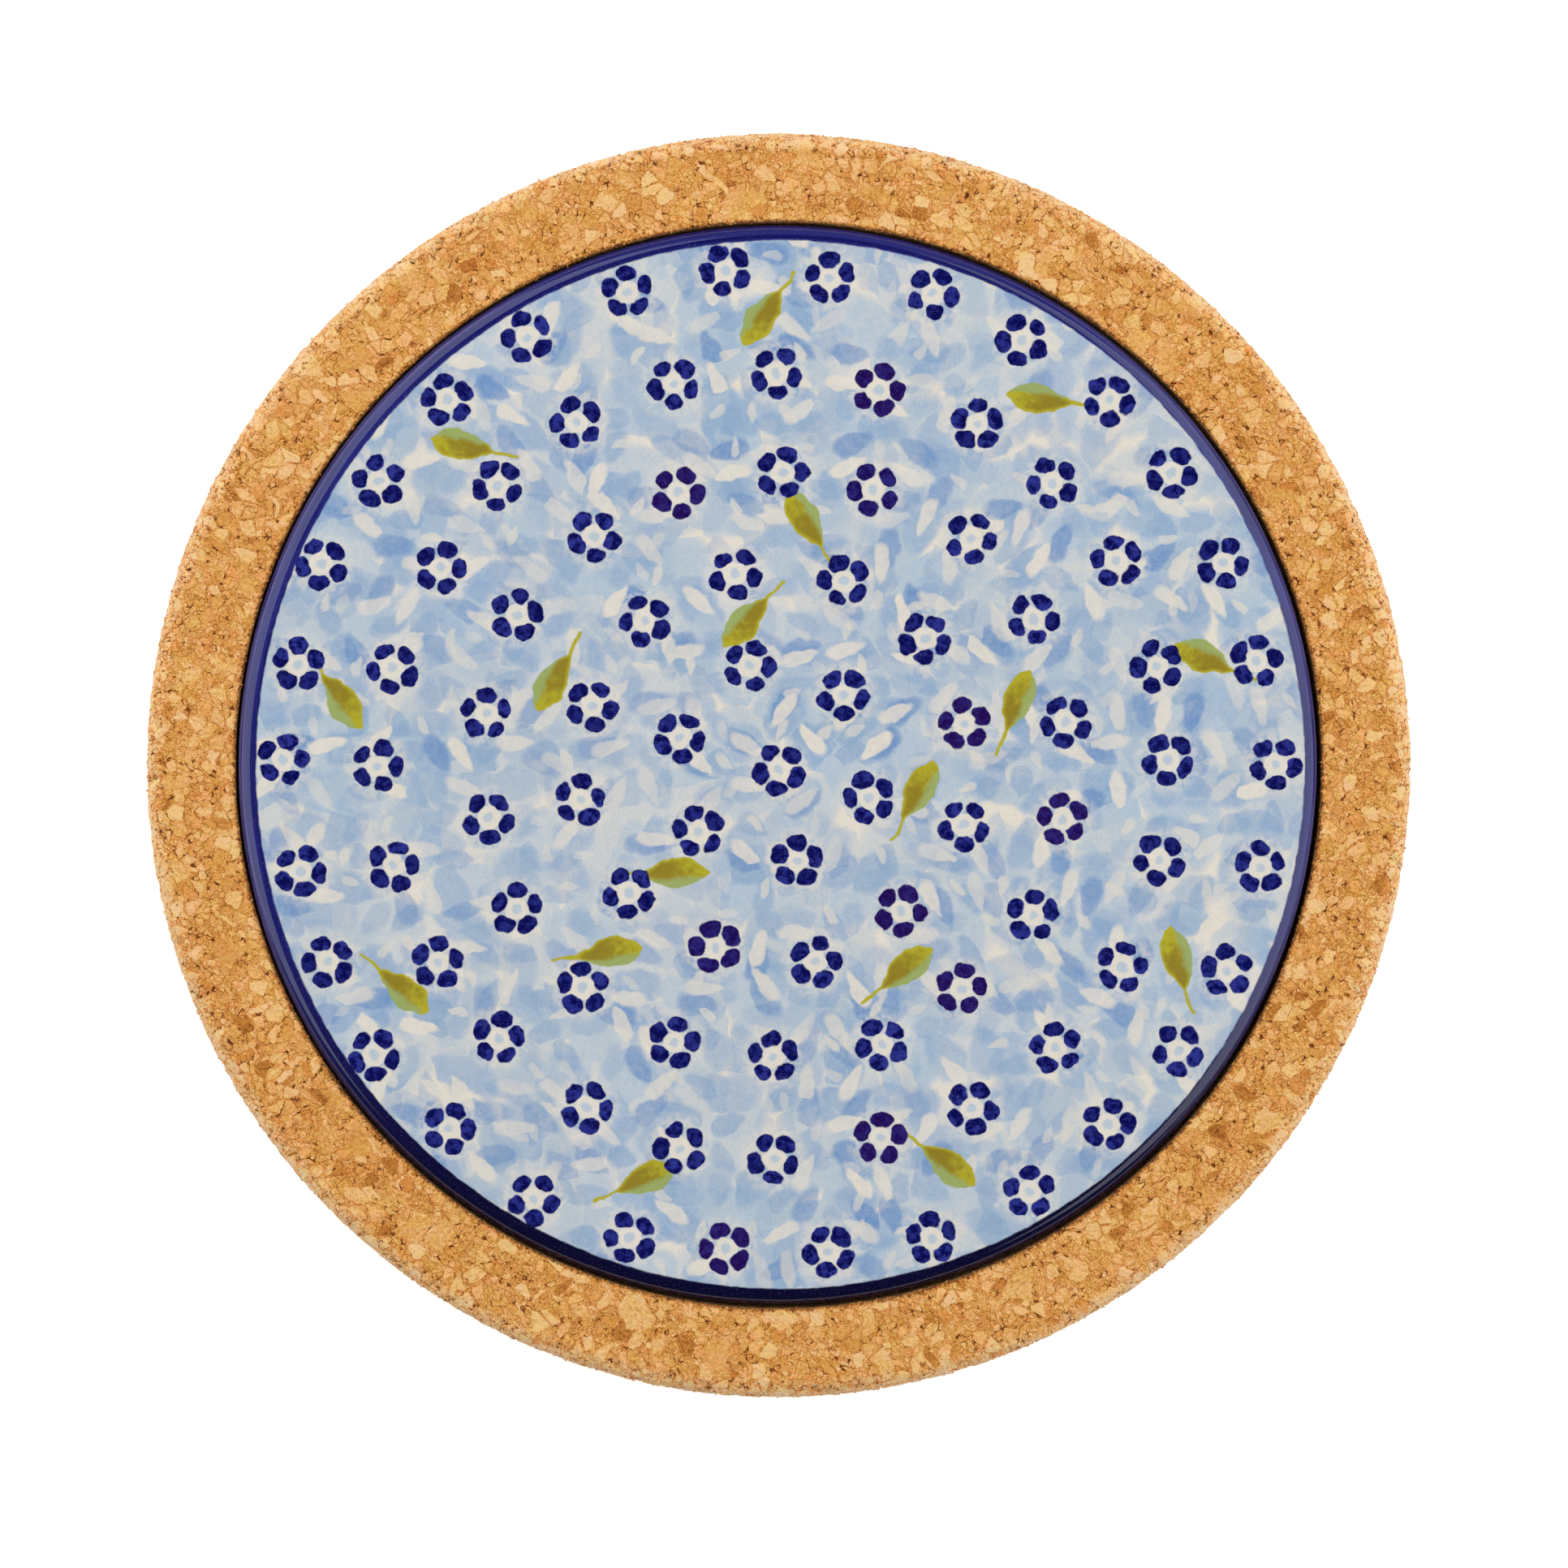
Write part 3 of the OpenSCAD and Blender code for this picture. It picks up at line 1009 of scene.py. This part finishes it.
under = plate_low.z + FOOT_H
foot_r = plate_r - FOOT_INSET
foot_in = foot_r - FOOT_W
lathe_parts = [
    ("glaze", [(0, under)]),
    ("glaze", stretch((0, under), (foot_in - FOOT_FILLET_R, under), HIDDEN_STEP)),
    ("glaze", arc((foot_in - FOOT_FILLET_R, under - FOOT_FILLET_R), FOOT_FILLET_R, 90, 0, EDGE_STEP)),
    ("clay", arc((foot_in + FOOT_EDGE_R, plate_low.z + FOOT_EDGE_R), FOOT_EDGE_R, 180, 270, EDGE_STEP)),
    ("clay", arc((foot_r - FOOT_EDGE_R, plate_low.z + FOOT_EDGE_R), FOOT_EDGE_R, 270, 360, EDGE_STEP)),
    ("glaze", arc((foot_r + FOOT_FILLET_R, under - FOOT_FILLET_R), FOOT_FILLET_R, 180, 90, EDGE_STEP)),
    ("glaze", arc((plate_r - PLATE_LOW_R, under + PLATE_LOW_R), PLATE_LOW_R, -90, 0, EDGE_STEP)),
    ("glaze", arc((plate_r - PLATE_TOP_R, plate_high.z - PLATE_TOP_R), PLATE_TOP_R, 0, 90, EDGE_STEP)),
    ("glaze", stretch((plate_r - PLATE_TOP_R, plate_high.z), (0, plate_high.z), FACE_STEP)),
    ("glaze", [(0, plate_high.z)]),
]
plate_outline = np.concatenate([points for finish, points in lathe_parts])
bare_rows = np.concatenate([np.full(len(points), finish == "clay") for finish, points in lathe_parts])
plate_points, plate_normals = turned(plate_outline, PLATE_COLUMNS)
swell = sum(
    np.sin(plate_points[..., 0] * across + plate_points[..., 1] * along + across)
    for across, along in GLAZE_WAVES
)
swell = np.where(plate_points[..., 2] > plate_high.z - PLATE_TOP_R, swell - len(GLAZE_WAVES), 0)
swell[[0, -1]] = swell[[0, -1], :1]
plate_points = plate_points + plate_normals * (GLAZE_SWELL / 2 / len(GLAZE_WAVES) * swell)[..., None]
plate_points += ((plate_low.x + plate_high.x) / 2, (plate_low.y + plate_high.y) / 2, 0)
plate_mesh = turned_mesh("glazed_plate", plate_points)
plate_mesh.materials.append(decorated_glaze())
plate_mesh.materials.append(bare_stoneware())
bare_squares = (bare_rows[1:-2] & bare_rows[2:-1]).repeat(PLATE_COLUMNS)
bare_faces = np.concatenate([bare_squares, np.zeros(2 * PLATE_COLUMNS, bool)])
plate_mesh.polygons.foreach_set("material_index", bare_faces.astype(np.int32))
glazed_plate = bpy.data.objects.new("glazed_plate", plate_mesh)
bpy.context.scene.collection.objects.link(glazed_plate)
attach(glazed_plate, "plate")
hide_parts("ceramic_plate")
